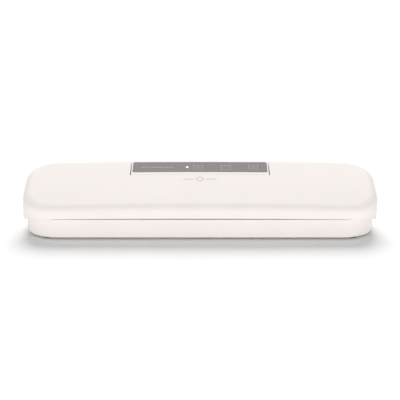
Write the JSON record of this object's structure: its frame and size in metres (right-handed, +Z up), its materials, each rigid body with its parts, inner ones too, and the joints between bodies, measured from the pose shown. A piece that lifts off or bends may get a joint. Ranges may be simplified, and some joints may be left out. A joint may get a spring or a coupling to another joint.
{
  "type": "vacuum sealer",
  "caption": "Slim countertop vacuum sealer: a sloping lid on a rear hinge closes over a vacuum chamber, gaskets and heat seal; grey touch panel in a rear console.",
  "frame": {"origin": "on the table under the middle of the box that holds the whole object", "axes": "+X to the right seen from the front, +Y to the rear, +Z up"},
  "size_m": [0.3776, 0.09, 0.0636],
  "materials": {
    "white_shell": "satin white moulded plastic",
    "white_deck": "fine matt white moulded plastic",
    "black_rubber": "matt black rubber",
    "zinc_steel": "zinc-plated steel",
    "gasket_foam": "closed-cell black foam",
    "heater_insulator": "glass-filled insulating bar",
    "nichrome": "flat resistance strip",
    "release_tape": "woven brown non-stick tape",
    "brass_clamp": "brass terminal block",
    "motor_steel": "drawn steel can",
    "black_plastic": "black moulded plastic",
    "silicone": "grey silicone rubber",
    "circuit_board": "green solder mask",
    "core_steel": "laminated core steel",
    "winding_tape": "amber winding tape",
    "plated_pin": "nickel-plated steel",
    "spring_steel": "spring steel wire",
    "grey_panel": "satin grey overlay",
    "light_pipe": "milky light pipe"
  },
  "bodies": {
    "base": {"base_tray": "white_shell", "work_deck": "white_deck", "vacuum_trough": "white_deck", "screw_posts": "white_deck", "rubber_feet": "black_rubber", "base_screws": "zinc_steel", "lower_gasket": "gasket_foam", "heater_bar": "heater_insulator", "heater_strip": "nichrome", "release_tape": "release_tape", "heater_clamps": "brass_clamp", "pump_motor": "motor_steel", "pump_head": "black_plastic", "motor_saddle": "black_rubber", "pump_pad": "black_rubber", "release_valve": "black_plastic", "vacuum_hose": "silicone", "power_board": "circuit_board", "board_parts": "black_plastic", "transformer_core": "core_steel", "transformer_winding": "winding_tape", "power_inlet": "black_plastic", "inlet_pins": "plated_pin", "lid_switches": "black_plastic", "latch_spring_left": "spring_steel", "latch_spring_right": "spring_steel", "hinge_pins": "plated_pin", "console_frame": "white_shell", "control_panel": "grey_panel", "status_light": "light_pipe", "control_board": "circuit_board", "key_switches": "black_plastic"},
    "lid": {"lid_cover": "white_shell", "lid_liner": "white_deck", "upper_gasket": "gasket_foam", "pressure_strip": "silicone", "lid_screws": "zinc_steel"},
    "latch_left": {"latch_left": "white_shell"},
    "latch_right": {"latch_right": "white_shell"},
    "key_start": {"key_start": "grey_panel"},
    "key_seal": {"key_seal": "grey_panel"},
    "key_mode": {"key_mode": "grey_panel"}
  },
  "joints": [
    {"name": "lid_hinge", "type": "hinge", "parent": "base", "child": "lid", "pos_m": [0, 0.039, 0.044], "axis": [-1, 0, 0], "range_deg": [0, 80]},
    {"name": "latch_left_press", "type": "slide", "parent": "base", "child": "latch_left", "axis": [1, 0, 0], "range_m": [0, 0.003], "stiffness_N_per_m": 500, "deforming": ["latch_spring_left"]},
    {"name": "latch_right_press", "type": "slide", "parent": "base", "child": "latch_right", "axis": [-1, 0, 0], "range_m": [0, 0.003], "stiffness_N_per_m": 500, "deforming": ["latch_spring_right"]},
    {"name": "key_start_press", "type": "slide", "parent": "base", "child": "key_start", "axis": [0, 0.2812, -0.9596], "range_m": [0, 0.0005], "stiffness_N_per_m": 1500},
    {"name": "key_seal_press", "type": "slide", "parent": "base", "child": "key_seal", "axis": [0, 0.2812, -0.9596], "range_m": [0, 0.0005], "stiffness_N_per_m": 1500},
    {"name": "key_mode_press", "type": "slide", "parent": "base", "child": "key_mode", "axis": [0, 0.2812, -0.9596], "range_m": [0, 0.0005], "stiffness_N_per_m": 1500}
  ]
}
